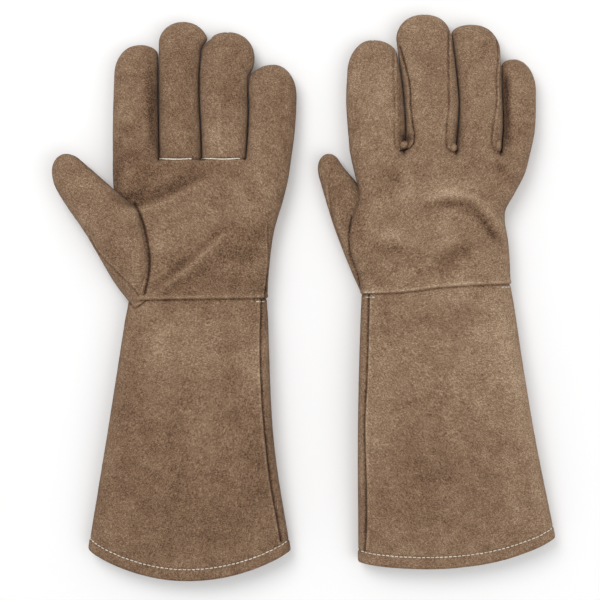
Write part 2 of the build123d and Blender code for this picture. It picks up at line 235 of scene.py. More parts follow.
LEFT = Glove(
    side="left",
    palm_up=True,
    crotch=103.6,
    wrist=through((-51, -0.5), (0, 0.2), (50, 0.9)),
    hand_left=through((0, -51), (20, -49), (45, -53), (70, -60), (85, -62), (103.6, -62.2)),
    hand_right=through((0, 50.4), (25, 52), (51, 55.6), (73, 62), (90, 66), (103.6, 67.9)),
    cuff_left=((-51, 0), (-65.0, -91), (-80.2, -181.0)),
    cuff_right=((50.4, 0), (55.0, -100), (67.2, -182.4)),
    hem_drop=21.6,
    hem_lean=-0.03,
    slits=[
        through((103.6, -28.2), (115, -28.6), (140, -29.0), (190, -29.2)),
        through((103.6, 2.5), (118, 2.2), (150, 0.7), (174, 1.4), (184, 3.0), (191, 8.2)),
        through((103.6, 34.8), (120, 35.9), (140, 36.6), (155, 36.3), (164, 37.2), (170, 40.6),
                (177, 41.4)),
    ],
    outer=(
        through((103.6, -62.2), (125, -62.3), (150, -61.8), (186, -60.6)),
        through((103.6, 67.9), (118, 69.9), (148, 71.7), (171, 70.6)),
    ),
    fingers=[
        Finger("index", (-43.2, 186.5), (22.0, 8.0)),
        Finger("middle", (-10.9, 203.3), (17.0, 20.0)),
        Finger("ring", (21.3, 196.1), (8.0, 20.0)),
        Finger("little", (54.5, 172.2), (9.0, 22.0)),
    ],
    thumb=Thumb(
        left=through((-38, -12.0), (-31, -12.6), (-13, -14.2), (5, -13.9), (31, -13.6), (50, -14.8),
                     (64, -15.0), (85, -14.8)),
        right=through((-38, -5), (-32, -0.1), (-26, 5.1), (-21, 11.0), (-13.5, 16.4), (-5, 19.9),
                      (5, 23.3), (14, 26.5), (21, 27.9), (25, 27.1), (38, 23), (51, 18.8), (63.5, 14.8),
                      (75, 11), (85, 8)),
        middle=through((-38, 14), (-20, 17), (0, 18.6), (30, 19.0), (50, 16.5), (84, 15)),
        thick=through((-38, 12), (-20, 19), (10, 22), (40, 21), (66, 19)),
        tilt=through((-38, 5), (-20, 8), (0, 9), (30, 9), (48, 3), (84, 0)),
        apex=(0.0, 85.4),
        tip=(23.0, 9.0),
        start=-38.0,
    ),
    tone=-0.12,
    hand_middle=through((0, 12.5), (50, 12.5), (103.6, 11.4)),
    side_lift=0.0,
    patches=[
        (-48, 74.5, 14, 6, 14, -0.8), (-57, 90, 5, 16, 0, -0.35), (-22, 81, 22, 4.5, 26, -0.35),
        (-5, 92, 34, 7, 12, -0.25), (-12, 55, 30, 12, 38, 0.22), (35, 38, 18, 12, -50, -0.18),
        (8, 20, 44, 7, 38, -0.22), (-16, 24, 9, 5, 38, -0.22), (-28, 42, 5, 16, -12, 0.15),
        (-41, 20, 4, 14, 0, 0.2), (20, 10, 38, 6, 8, -0.22), (46, 88, 10, 25, 10, 0.15),
        (-22, 10, 16, 8, 40, -0.22), (-38, 92, 8, 14, 0, -0.2), (0, -30, 50, 20, 0, 0.25),
        (-20, -150, 60, 38, 0, -0.22), (45, -120, 14, 50, 8, -0.18), (-62, -140, 8, 40, 8, 0.12),
        (-33, 155, 6, 24, 6, -0.45), (-48, 104, 16, 9, 15, -0.3), (15.5, 136, 1.6, 24, 2, 0.25),
        (12, 112, 5, 14, 0, 0.15), (-5, 124, 5, 24, 0, -0.15), (-12, 160, 9, 30, 0, -0.12),
        (22, 155, 9, 22, 0, -0.2), (8, 115, 20, 10, 0, 0.15), (-82, 60, 9, 28, 31, 0.16),
    ],
)

RIGHT = Glove(
    side="right",
    palm_up=False,
    crotch=100.6,
    wrist=through((-54, -4.1), (-25, -3.0), (0, 0.2), (20, 1.7), (54, 3.3)),
    hand_left=through((0, -54.5), (8, -55.4), (29, -62.1), (50, -61.4), (64, -56.8), (70, -56.2),
                      (82, -59.0), (100.6, -62.8)),
    hand_right=through((0, 54.6), (36, 52.4), (50, 50.2), (56, 50.4), (70, 57.6), (84, 64.8),
                       (100.6, 69.2)),
    cuff_left=((-54.5, 0), (-56.9, -100), (-56.4, -198.4)),
    cuff_right=((54.6, 0), (70.6, -100), (87.2, -180.6)),
    hem_drop=12.2,
    hem_lean=0.15,
    slits=[
        through((100.6, -23.6), (107, -22.6), (137, -23.0), (152, -24.5), (168, -27.1), (182, -29.0)),
        through((100.6, 14.6), (111, 15.6), (122, 16.5), (137, 17.0), (157, 15.3), (178, 12.7),
                (187, 11.2)),
        through((100.6, 47.2), (108, 48.4), (147, 48.6), (165, 47.9), (172, 47.6)),
    ],
    outer=(
        through((100.6, -62.8), (115, -64.0), (136, -65.3), (161, -64.3), (181, -62.5)),
        through((100.6, 69.2), (112, 71.6), (142, 73.2), (167, 72.6)),
    ),
    fingers=[
        Finger("index", (-46.0, 182.3), (22.5, 12.0)),
        Finger("middle", (-8.0, 201.0), (19.0, 17.5)),
        Finger("ring", (27.0, 193.5), (8.0, 22.0)),
        Finger("little", (57.0, 168.1), (6.0, 24.0)),
    ],
    thumb=Thumb(
        left=through((-26, -16.8), (-4, -16.8), (11, -16.2), (34, -14.5), (48, -12.7), (70, -9.6),
                     (81, -8.6)),
        right=through((-26, 8), (-10, 16), (11, 18), (40, 16.5), (54, 13.4), (67, 9.6), (81, 7.6)),
        middle=through((-26, 9), (20, 9), (60, 8.6), (81, 8.5)),
        thick=through((-26, 15), (20, 17), (60, 17), (66, 17)),
        tilt=through((-26, 0), (81, 0)),
        apex=(1.0, 81.2),
        tip=(14.5, 7.5),
        start=-26.0,
    ),
    tone=0.04,
    hand_middle=through((0, 12.5), (50, 12.8), (100.6, 11.4)),
    side_lift=6.0,
    patches=[
        (6, 61.0, 20, 3.2, 3, -0.38), (39, 41, 11, 3.6, -50, -0.4), (-66, 64, 10, 26, 20, -0.5),
        (12, 24, 30, 9, 35, -0.32), (-38, 28, 16, 10, 20, -0.15), (-44, 75, 14, 9, 35, -0.2),
        (52, 88, 6, 14, 20, -0.22), (-5, 68, 40, 9, 5, 0.18), (-10, 40, 26, 8, 5, 0.16),
        (62, 125, 6, 28, 0, -0.15), (50.2, 138, 2.6, 24, 0, -0.55), (-26.3, 130, 2.8, 32, 0, -0.5),
        (11.5, 112, 2.2, 9, 0, 0.15), (15.2, 108, 1.6, 8, 0, -0.5), (7.6, 107, 1.4, 7, 0, -0.35),
        (-22.0, 109.5, 4.2, 3.0, 0, -1.1), (45.6, 98.5, 5.0, 2.2, 0, -0.45), (-44, 150, 14, 24, 0, 0.1),
        (-2, 145, 9, 30, 0, -0.12), (-70, 60, 7, 26, 24, -0.1), (50, -60, 24, 60, 8, 0.28),
        (78, -150, 8, 34, 12, 0.15), (0, -140, 48, 44, 0, -0.26), (-44, -150, 8, 30, 0, -0.12),
        (-20, -25, 40, 14, 0, -0.1),
    ],
)

# Seams and then creases: the line, depth, width, height and side of the lip, tone (painted shade in the
# groove), and the parts it is on
GROOVES = {
    "left": [
        ([(-28, 102.2), (3, 102.2), (34.4, 102.4)], 0.7, 0.9, 0.25, -1, 0.6, "hand"),
        ([(51.2, 54), (51.0, 31), (50.0, 13.4), (48.6, 1)], 0.6, 0.6, 0.5, -1, 0.35, "hand"),
        ([(50.2, 18), (49.6, 9), (48.6, 1)], 0.5, 0.7, 0.0, -1, 0.8, "hand"),
        ([(46.8, 0), (46.0, -30), (47.8, -80), (53.0, -130), (60.0, -170), (60.8, -175)], 1.1, 0.8, 0.6,
         -1, 1.1, "cuff"),
        ([(-78.0, 46), (-72.0, 35), (-66.5, 28.3), (-58.2, 20), (-48.8, 11.4), (-38.8, -0.5)], 0.8, 0.6,
         0.7, 1, 0.7, "thumb"),
        ([(-45, 69), (-42.4, 64.5), (-39.7, 58), (-35.9, 42.3), (-34.2, 28.9), (-35.3, 16.7), (-38.2, 5)],
         1.0, 1.15, 0.3, -1, 1.3, "hand"),
        ([(-49.8, -1.8), (-45.4, -5.6), (-41, -3.2), (-37, -0.4)], 0.6, 0.6, 0.3, 1, 0.9, "cuff"),
        ([(-62, 66), (-44, 69), (-33, 71.5), (-20, 77), (-4, 85.2), (12, 93)], 1.1, 2.4, 0.5, -1, 0.3),
        ([(-40, 88), (-26, 94), (-12, 98)], 0.8, 4.0, 0.3, -1, 0.2),
        ([(-44, 0), (-34.7, 7), (-17, 20), (-3.5, 31.2), (11, 44.5), (28, 60)], 1.2, 2.3, 0.6, -1, 0.3),
        ([(-30, 2), (-6, 14), (22, 36)], 0.7, 4.0, 0.0, 1, 0.2),
        ([(37, 90), (40, 76), (50, 66)], 0.7, 4.0, 0.3, -1, 0.2),
        ([(48, 54), (40, 36), (28, 22)], 0.9, 6.0, 0.3, 1, 0.12),
        ([(-58, 118), (-48, 124), (-38, 132)], 0.5, 4.0, 0.2, 1, 0.1),
        ([(-33, 150), (-33, 128), (-29.5, 106)], 0.9, 3.0, 0.0, 1, 0.5),
        ([(-95, 80), (-80, 66), (-70, 60)], 0.6, 6.0, 0.2, 1, 0.1),
        ([(-50, 20), (-60, 34), (-66, 48)], 0.6, 5.0, 0.3, -1, 0.15),
        ([(-48, -8), (-44, -40), (-50, -90)], 0.8, 9.0, 0.3, 1, 0.1),
        ([(30, -10), (22, -60), (30, -110)], 0.7, 10.0, 0.3, 1, 0.1),
        ([(-20, -60), (-24, -110), (-12, -160)], 0.7, 14.0, 0.3, 1, 0.05),
    ],
    "right": [
        ([(-49.5, 0), (-50.6, -50), (-52.6, -100), (-51.4, -150), (-51.8, -180), (-52.4, -190.5)], 1.1,
         0.8, 0.6, 1, 1.1, "cuff"),
        ([(-30.8, 172), (-31.0, 155), (-30.2, 130), (-30.4, 115), (-30.0, 105), (-28.5, 101)], 0.7, 0.6,
         0.6, 1, 0.5, "index hand"),
        ([(-26.6, 176), (-21.4, 157), (-19.4, 147), (-19.1, 132), (-17.9, 121), (-16.4, 108), (-17.4, 104),
         (-21.0, 101.6), (-26.1, 100.4)], 1.0, 0.6, 0.4, -1, 1.3, "middle hand"),
        ([(9.2, 187), (8.3, 158), (8.8, 135), (7.6, 119), (7.0, 108), (7.4, 102), (10.4, 99.7),
         (14.6, 100.6)], 0.9, 0.6, 0.6, 1, 0.85, "middle hand"),
        ([(44.9, 183), (45.2, 167), (43.4, 154), (43.7, 137), (40.6, 117), (39.8, 106), (42, 100)], 0.8,
         0.6, 0.55, 1, 0.7, "ring hand"),
        ([(-78.5, 76), (-77.6, 66), (-75.4, 52), (-71.5, 40), (-67.5, 30)], 0.5, 0.6, 0.5, -1, 0.35,
         "thumb"),
        ([(-61.4, 52), (-63.7, 37), (-62.2, 23.6), (-56.8, 10.4), (-55.2, 1)], 0.6, 0.9, 0.0, 1, 1.0,
         "thumb"),
        ([(-14, 56), (-2, 59.4), (10.4, 62), (20.6, 60), (31, 51.2), (40, 41), (47, 33), (56, 30)], 1.6,
         3.6, 0.8, 1, 0.35),
        ([(-2, 12), (14, 24), (26, 36)], 1.0, 6.0, 0.4, 1, 0.25),
        ([(-38, 86), (-30, 78), (-36, 66)], 0.8, 5.0, 0.3, 1, 0.2),
        ([(40, 92), (48, 84), (54, 76)], 0.8, 3.5, 0.3, 1, 0.3),
        ([(-48, 28), (-34, 26), (-20, 30)], 0.8, 6.0, 0.3, 1, 0.15),
        ([(-52, 45), (-36, 50), (-14, 46)], 0.7, 6.0, 0.3, -1, 0.1),
        ([(-20, -14), (10, -22), (40, -18)], 0.7, 9.0, 0.3, 1, 0.1),
        ([(30, -40), (44, -90), (50, -140)], 0.8, 13.0, 0.3, 1, 0.08),
        ([(-28, -60), (-20, -110), (-26, -160)], 0.8, 13.0, 0.3, -1, 0.08),
        ([(-50, 120), (-42, 128), (-34, 130)], 0.5, 5.0, 0.2, 1, 0.1),
        ([(51, 106), (51, 130), (50, 152)], 1.0, 2.6, 0.0, 1, 0.45, "little hand"),
    ],
}


# ---- The leather skin ----


class Skin:
    """The points and faces of one glove's skin, with the part that each face belongs to."""

    def __init__(self):
        self.points = []
        self.face_side = []  # 1 on top, -1 underneath, 0 along the sides
        self.faces = []
        self.parts = []
        self.count = 0

    def add_ring(self, points, sides):
        self.points.append(points)
        self.face_side.append(sides)
        first = self.count
        self.count += len(points)
        return np.arange(first, self.count)

    def bridge(self, a, b, part):
        """Faces between two rings of the same length."""
        for i in range(len(a)):
            j = (i + 1) % len(a)
            self.faces.append((a[i], a[j], b[j], b[i]))
            self.parts.append(part)

    def bridge_all(self, rings, part):
        """Faces between the rings of a row that runs towards the wearer's arm."""
        for a, b in zip(rings[:-1], rings[1:]):
            self.bridge(b, a, part)

    def cap(self, ring, part):
        """Closes a small ring with one face."""
        self.faces.append(tuple(ring))
        self.parts.append(part)

    def arrays(self):
        return np.concatenate(self.points), np.concatenate(self.face_side)


def vertex_normals(points, faces):
    """Area-weighted normals of the points."""
    normals = np.zeros_like(points)
    quads = np.array([f for f in faces if len(f) == 4])
    cross = np.cross(points[quads[:, 2]] - points[quads[:, 0]], points[quads[:, 3]] - points[quads[:, 1]])
    for corner in range(4):
        np.add.at(normals, quads[:, corner], cross)
    length = np.linalg.norm(normals, axis=1, keepdims=True)
    return normals / np.maximum(length, 1e-9)


def ring_of(x, y, middle, top, shape):
    """A closed ring: over the top from left to right, and back underneath."""
    upper = middle + (top - middle) * shape
    lower = middle - (middle - FLOOR_GAP) * shape
    over = np.stack([x, y, upper], axis=1)
    under = np.stack([x, y, lower], axis=1)[1:-1][::-1]
    sides = np.concatenate([shape, -shape[1:-1][::-1]])
    return np.concatenate([over, under]), sides


def hand_top(glove, y):
    """Height of the top of the hand and the roots of the fingers."""
    return through((0, 24.5), (45, 25.5), (85, 24.0), (glove.crotch, 22.0))(y)


def row_list(start, end, seams, step):
    """Positions from start down to end, closer together beside the seams."""
    rows = [start]
    while rows[-1] > end + 1e-6:
        near = min([abs(rows[-1] - seam) for seam in seams] + [99])
        size = min(step, FINE) if near < NEAR_SEAM else step
        rows.append(max(end, rows[-1] - size))
    return rows


def hand_rows(skin, glove, columns, step):
    """The hand, from the roots of the fingers down to the wrist seam; gives all its rings."""
    edges = [edge(glove.crotch) for edge in (glove.hand_left, *glove.slits, glove.hand_right)]
    slit_shares = (np.array(edges[1:-1]) - edges[0]) / (edges[-1] - edges[0])
    finger_shares = []
    for left, right in zip(edges[:-1], edges[1:]):
        xs = left + cosine_steps(columns) * (right - left)
        finger_shares += list(xs if not finger_shares else xs[1:])
    finger_shares = (np.array(finger_shares) - edges[0]) / (edges[-1] - edges[0])
    count = 4 * columns
    even = np.linspace(0, 1, count + 1)
    even = even * 0.72 + cosine_steps(count) * 0.28
    # The dips between the fingers run out into the palm sooner than into the back
    fades = (6.5, 9.0) if glove.palm_up else (9.0, 6.5)
    rings = []
    for y in row_list(glove.crotch, 0.0, [glove.crotch, 0.0], step):
        down = glove.crotch - y
        share = finger_shares + (even - finger_shares) * smooth(down, 0, 26)
        left, right = glove.hand_left(y), glove.hand_right(y)
        x = left + share * (right - left)
        reach = FINGER_ROUND + (HAND_ROUND - FINGER_ROUND) * smooth(down, 0, 40)
        flat = rounded(np.minimum(x - left, right - x), reach)
        slit_x = left + slit_shares * (right - left)
        gap = np.min(np.abs(x[:, None] - slit_x[None, :]), axis=1)
        dipped = rounded(np.minimum(np.minimum(x - left, right - x), gap), FINGER_ROUND)
        shapes = [flat + (dipped - flat) * (1 - smooth(down, 0, fade)) ** 1.5 for fade in fades]
        lift = glove.side_lift * smooth(left + 30 - x, 0, 30) * smooth(y, -5, 20) * smooth(96 - y, 0, 20)
        middle = glove.hand_middle(y) + lift
        top = hand_top(glove, y)
        shift = glove.wrist(x) * (1 - smooth(y, 0, 40))
        over, sides = ring_of(x, y + shift, middle, top, shapes[0])
        under, _ = ring_of(x, y + shift, middle, top, shapes[1])
        over[count + 1:] = under[count + 1:]
        rings.append(skin.add_ring(over, sides))
    skin.bridge_all(rings, "hand")
    return rings, even


def cuff_sides(corners):
    """x and y of one side of the cuff, from the wrist to the mouth, by share."""
    share = np.array([0, 0.5, 1])
    xs, ys = np.array(corners, float).T
    return through(*zip(share, xs)), through(*zip(share, ys))


def hem_line(glove, share):
    """y of the mouth's edge below the line between its corners."""
    t = 2 * share - 1 - glove.hem_lean
    span = np.where(t < 0, 1 + glove.hem_lean, 1 - glove.hem_lean)
    return -glove.hem_drop * (1 - (np.abs(t) / span) ** 2.0)


def cuff_rows(skin, glove, wrist_ring, even, step):
    """The cuff, from the wrist seam to the edge of the mouth."""
    left_x, left_y = cuff_sides(glove.cuff_left)
    right_x, right_y = cuff_sides(glove.cuff_right)
    length = -(glove.cuff_left[2][1] + glove.cuff_right[2][1]) / 2 + glove.hem_drop
    depths = [-d for d in row_list(0.0, -length, [0.0, -(length - HEM_RISE)], step)][1:]
    rings = [wrist_ring]
    seam = glove.wrist(left_x(0) + even * (right_x(0) - left_x(0)))
    for depth in depths:
        t = depth / length
        # The corners and the middle of a row get to the mouth together
        x = left_x(t) + even * (right_x(t) - left_x(t))
        y = left_y(t) + even * (right_y(t) - left_y(t))
        y = y + hem_line(glove, even) * t**1.5 + seam * (1 - smooth(t, 0, 0.3))
        top = through((0, 24.5), (0.3, 27.0), (0.7, 25.0), (1, 19.0))(t)
        reach = HAND_ROUND + (CUFF_ROUND - HAND_ROUND) * smooth(t, 0, 0.3)
        width = right_x(t) - left_x(t)
        shape = rounded(np.minimum(even, 1 - even) * width, reach)
        ring, sides = ring_of(x, y, top * 0.51, top, shape)
        rings.append(skin.add_ring(ring, sides))
    skin.bridge_all(rings, "cuff")
    return rings


def digit_positions(first, end, tip, step):
    """Positions along a digit, closer and closer together where its end is rounded."""
    tip_start = end - tip
    count = ceil(tip * 1.5 / step)
    rounded_in = [tip_start + tip * sin(pi / 2 * k / count) for k in range(count)]
    return [*np.arange(first, tip_start, step), *rounded_in, end - TIP_LEFT]


def drawn_in(left, right, position, apex, end, tip):
    """A digit's sides, drawn in towards its tip, and how much of its depth is left."""
    left_start, right_start = (end - length for length in tip)
    longest = max(tip)
    left = apex - (apex - left) * closing((position - left_start) / tip[0])
    right = apex + (right - apex) * closing((position - right_start) / tip[1])
    return left, right, closing((position - (end - longest)) / longest)


def finger_rows(skin, glove, number, root_ring, columns, step):
    """One finger, from its root to a closed tip; its part changes halfway between its joints."""
    finger = glove.fingers[number]
    walls = [glove.outer[0], *glove.slits, glove.outer[1]]
    start = glove.crotch
    apex, top_y = finger.apex
    tip_start = top_y - max(finger.tip)
    split = start + finger_split(glove, finger)
    share = cosine_steps(columns)
    rings, parts = [root_ring], []
    for y in digit_positions(start + step, top_y, max(finger.tip), step):
        gap = SLIT_GAP * smooth(y - start, 0, 4)
        left = walls[number](y) + (gap if number > 0 else 0)
        right = walls[number + 1](y) - (gap if number < 3 else 0)
        left, right, close = drawn_in(left, right, y, apex, top_y, finger.tip)
        centre, half = (left + right) / 2, (right - left) / 2
        x = centre - half + share * 2 * half
        reach = min(FINGER_ROUND, half)
        shape = rounded(np.minimum(x - centre + half, centre + half - x), reach)
        up = (y - start) / (tip_start - start)
        middle = FINGER_MIDDLE - MIDDLE_FALL * smooth(up, 0, 1)
        top = FINGER_TOP - TOP_FALL * smooth(up, 0, 1)
        ring, sides = ring_of(x, np.full(len(x), y), middle, top, shape)
        ring[:, 2] = middle + (ring[:, 2] - middle) * close
        ring[:, 2] -= (1 - close) * (middle - FLOOR_GAP) * TIP_SAG
        rings.append(skin.add_ring(ring, sides))
        parts.append(f"{finger.name}_{'base' if y <= split else 'tip'}")
    for a, b, part in zip(rings[:-1], rings[1:], parts):
        skin.bridge(a, b, part)
    skin.cap(rings[-1], parts[-1])


def joint_point(name):
    """A joint's place in its glove's own frame."""
    side = name.split("_")[0]
    wrist = JOINTS[f"{side}_wrist"]["pos_m"]
    at = np.array(JOINTS[name]["pos_m"]) / MM
    return at - np.array([wrist[0], wrist[1], 0]) / MM


def finger_split(glove, finger):
    """Where a finger's two pieces meet, from the root."""
    knuckle = joint_point(f"{glove.side}_{finger.name}_knuckle")
    middle = joint_point(f"{glove.side}_{finger.name}_middle_joint")
    return (knuckle[1] + middle[1]) / 2 - glove.crotch


def thumb_frame(glove):
    """The CAD thumb's root, the way along it and the way across it."""
    knuckle = joint_point(f"{glove.side}_thumb_knuckle")
    tip = joint_point(f"{glove.side}_thumb_tip_joint")
    along = (tip - knuckle)[:2]
    along = along / np.linalg.norm(along)
    across = np.array([along[1], -along[0]])
    return knuckle[:2], along, across


def thumb_rows(skin, glove, columns, step):
    """The thumb, from its end inside the hand to its tip."""
    thumb = glove.thumb
    knuckle_at, along, across = thumb_frame(glove)
    root = knuckle_at - along * THUMB_KNUCKLE[glove.side]
    split = (THUMB_KNUCKLE[glove.side] + THUMB_TIP_JOINT) / 2
    apex, end = thumb.apex
    tip_start = end - max(thumb.tip)
    share = cosine_steps(columns)
    rings, parts = [], []
    for s in digit_positions(thumb.start, end, max(thumb.tip), step):
        left, right, close = drawn_in(thumb.left(s), thumb.right(s), s, apex, end, thumb.tip)
        centre, half = (left + right) / 2, (right - left) / 2
        o = centre - half + share * 2 * half
        reach = min(THUMB_ROUND, half)
        shape = rounded(np.minimum(o - centre + half, centre + half - o), reach) * close
        middle = thumb.middle(s) + thumb.tilt(s) * (share - 0.5)
        thick = thumb.thick(min(s, tip_start))
        place = root + np.outer(np.full(len(o), s), along) + np.outer(o, across)
        over = np.column_stack([place, middle + thick / 2 * shape])
        under = np.column_stack([place, np.maximum(middle - thick / 2 * shape, FLOOR_GAP)])
        ring = np.concatenate([over, under[1:-1][::-1]])
        sides = np.concatenate([shape, -shape[1:-1][::-1]])
        rings.append(skin.add_ring(ring, sides))
        if s < THUMB_KNUCKLE[glove.side] - ROOT_BEFORE_KNUCKLE:
            parts.append("thumb_root")
        else:
            parts.append("thumb_base" if s <= split else "thumb_tip")
    for a, b, part in zip(rings[:-1], rings[1:], parts[1:]):
        skin.bridge(a, b, part)
    skin.cap(rings[-1], parts[-1])
    skin.cap(rings[0][::-1], parts[0])


def glove_skin(glove, columns, step):
    """The whole glove but the thumb, as one skin; gives also the rings of the cuff."""
    skin = Skin()
    rings, even = hand_rows(skin, glove, columns, step)
    cuff = cuff_rows(skin, glove, rings[-1], even, step)
    root = rings[0]
    count = 4 * columns
    for number in range(4):
        over = root[number * columns:(number + 1) * columns + 1]
        right, left = (number + 1) * columns, number * columns
        under = [root[2 * count - k] for k in range(right - 1, left, -1)]
        finger_rows(skin, glove, number, np.array([*over, *under]), columns, step)
    return skin, cuff


# ---- Seams, creases and waves ----


def part_masks(skin):
    """For each part, which points belong to it."""
    masks = {}
    for face, part in zip(skin.faces, skin.parts):
        masks.setdefault(part.split("_")[0], set()).update(face)
    out = {}
    for part, members in masks.items():
        mask = np.zeros(skin.count, bool)
        mask[list(members)] = True
        out[part] = mask
    return out


def field_noise(points, scale, seed):
    """Smooth noise at each point, between about -1 and 1."""
    shift = Vector((seed * 17.3, seed * 5.1, seed * 9.7))
    return np.array([noise.noise(Vector(p) / scale + shift) for p in points])


def shape_leather(skin, glove, thumb=False):
    """Adds seams, creases and waves; gives the final points and their tone, which holds painted shade and
    highlights as well as the nap's own uneven colour.
    """
    points, sides = skin.arrays()
    normals = vertex_normals(points, skin.faces)
    flat = points[:, :2]
    moved = np.zeros(len(points))
    tone = np.full(len(points), glove.tone)
    masks = part_masks(skin)
    upper = smooth(sides, 0.05, 0.45)
    for groove in [Groove(*row) for row in GROOVES[glove.side]]:
        if thumb and "thumb" not in groove.parts and groove.parts:
            continue
        line = curve_points(groove.line)
        distance, side, along = polyline_offset(flat, line)
        allowed, ends = upper, 1.0
        if groove.parts:
            inside = np.zeros(len(points), bool)
            for part in groove.parts.split():
                inside |= masks.get(part, False)
            allowed = upper * inside
        else:
            ends = smooth(along, 0.0, 0.3) * smooth(1 - along, 0.0, 0.3)
        dip = np.exp(-((distance / groove.width) ** 2)) * allowed * ends
        beside = distance - 2.0 * groove.width
        lip = np.exp(-((beside / groove.width) ** 2)) * allowed * ends * (side == groove.lip_side)
        moved += groove.lip * lip - groove.depth * dip
        # Painted shade in the groove and a painted highlight on its lip
        tone -= groove.tone * dip
        tone += PAINTED_LIP_HIGHLIGHT * groove.lip * lip
    if not thumb:
        moved_seam, tone_seam = wrist_and_hem(glove, points, masks)
        moved += moved_seam
        tone += tone_seam
    seed = NOISE_SEED[glove.side]
    moved += 0.75 * field_noise(points, 42.0, seed) * np.clip(np.abs(sides) * 1.2, 0, 1)
    moved += 0.28 * field_noise(points, 13.0, seed + 1) * np.clip(np.abs(sides) * 1.5, 0, 1)
    moved += 0.08 * field_noise(points, 4.0, seed + 2)
    # Soft patches: painted shade beside slits, in creases and crotches and behind the lumps, and the nap's
    # own uneven colour
    for x, y, half_u, half_v, turned, shade in glove.patches:
        turn = radians(turned)
        away = flat - np.array((x, y))
        u = (away[:, 0] * cos(turn) + away[:, 1] * sin(turn)) / half_u
        v = (away[:, 1] * cos(turn) - away[:, 0] * sin(turn)) / half_v
        soft = np.exp(-(u * u + v * v)) * (upper if not thumb else upper * 0.6)
        tone += shade * soft
    # Painted shade where the leather turns down at its sides
    tone -= PAINTED_SIDE_SHADE * (1 - smooth(np.abs(sides), 0.0, 0.55))
    points = points + normals * moved[:, None]
    points[:, 2] = np.maximum(points[:, 2], FLOOR_GAP * 0.5)
    return points, tone


def wrist_and_hem(glove, points, masks):
    """The seam round the wrist, and the folded hem round the mouth."""
    x, y = points[:, 0], points[:, 1]
    wrist = y - glove.wrist(x)
    groove = np.exp(-((wrist / 0.7) ** 2))
    lip = np.exp(-(((wrist - 1.9) / 1.1) ** 2))
    step_down = smooth(-wrist, 0, 1.0) * (1 - smooth(-wrist, 3, 16))
    moved = 0.55 * lip - 0.9 * groove - 0.35 * step_down
    # Painted highlight on the wrist seam's lip and painted shade in its groove
    tone = 0.38 * lip - 0.65 * groove
    to_hem = hem_distance(glove, x, y)
    near = masks["cuff"] & (to_hem < 30)
    dip = np.exp(-(((to_hem - HEM_RISE) / 0.9) ** 2)) * near
    band = (1 - smooth(to_hem, HEM_RISE - 0.8, HEM_RISE + 0.6)) * near
    moved = moved + 0.35 * band - 0.45 * dip - 0.25 * (1 - smooth(to_hem, 0, 1.6)) * near
    # Painted shade in the hem's stitch line and along the mouth's edge, where the leather turns over
    tone = tone - 0.25 * dip - 0.25 * (1 - smooth(to_hem, 0.0, 1.6)) * near
    return moved, tone


def hem_distance(glove, x, y):
    """How far above the edge of the mouth a point lies."""
    (lx, ly), (rx, ry) = glove.cuff_left[2], glove.cuff_right[2]
    share = np.clip((x - lx) / (rx - lx), 0, 1)
    edge = ly + share * (ry - ly) + hem_line(glove, share)
    return y - edge


# ---- Meshes ----


ORIGIN = {side: Vector(JOINTS[f"{side}_wrist"]["pos_m"][:2] + [0]) for side in ("left", "right")}


def make_piece(name, points, faces, material, normals=None, tone=None):
    """A mesh of some of the faces, with only the points that they use."""
    used = sorted({v for face in faces for v in face})
    index = {v: i for i, v in enumerate(used)}
    places = points[used] * MM + np.array(ORIGIN[name.split("_")[0]])
    mesh = bpy.data.meshes.new(name)
    mesh.from_pydata(places.tolist(), [], [[index[v] for v in face] for face in faces])
    mesh.polygons.foreach_set("use_smooth", [True] * len(mesh.polygons))
    if tone is not None:
        layer = mesh.attributes.new("tone", "FLOAT", "POINT")
        layer.data.foreach_set("value", tone[used].astype(np.float32))
    if normals is not None:
        mesh.normals_split_custom_set_from_vertices(normals[used].tolist())
    mesh.update()
    piece = bpy.data.objects.new(name, mesh)
    bpy.context.scene.collection.objects.link(piece)
    mesh.materials.append(material)
    return piece


def faces_of(skin, part):
    return [face for face, owner in zip(skin.faces, skin.parts) if owner == part]


def add_mouth(skin, cuff, points, normals, tone):
    """Turns the edge of the mouth over and into the cuff."""
    last, before = cuff[-1], cuff[-2]
    way = points[last] - points[before]
    way /= np.linalg.norm(way, axis=1, keepdims=True)
    deep = [k for k in range(2, 40) if np.linalg.norm(points[cuff[-k]][0] - points[last][0]) < HEM_TURN]
    # Painted shade on the turned-over edge and on the leather inside the mouth
    turned = [
        (points[last] + way * down - normals[last] * inward, tone[last] - 0.1)
        for down, inward in ((0.55, 0.35), (0.85, 1.1), (0.55, 1.9), (0.0, HEM_THICK))
    ]
    turned += [
        (points[cuff[-k]] - normals[cuff[-k]] * HEM_THICK, np.full(len(last), PAINTED_MOUTH_SHADE))
        for k in deep[::2]
    ]
    rings = [last]
    for number in range(len(turned)):
        rings.append(len(points) + number * len(last) + np.arange(len(last)))
    skin.bridge_all(rings, "cuff")
    new_points, new_tone = zip(*turned)
    points = np.concatenate([points, *new_points])
    tone = np.concatenate([tone, *new_tone])
    return points, tone


# ---- Materials ----


def node_material(name):
    material = bpy.data.materials.new(name)
    material.use_nodes = True
    tree = material.node_tree
    tree.nodes.clear()
    output = tree.nodes.new("ShaderNodeOutputMaterial")
    shader = tree.nodes.new("ShaderNodeBsdfPrincipled")
    tree.links.new(shader.outputs["BSDF"], output.inputs["Surface"])
    return material, tree, shader


def coordinates(tree):
    """Places on the object in metres, in the row frame."""
    return tree.nodes.new("ShaderNodeTexCoord").outputs["Object"]


def noise_texture(tree, place, scale, detail=2.0, roughness=0.5):
    texture = tree.nodes.new("ShaderNodeTexNoise")
    texture.inputs["Scale"].default_value = scale
    texture.inputs["Detail"].default_value = detail
    texture.inputs["Roughness"].default_value = roughness
    tree.links.new(place, texture.inputs["Vector"])
    return texture.outputs["Fac"]


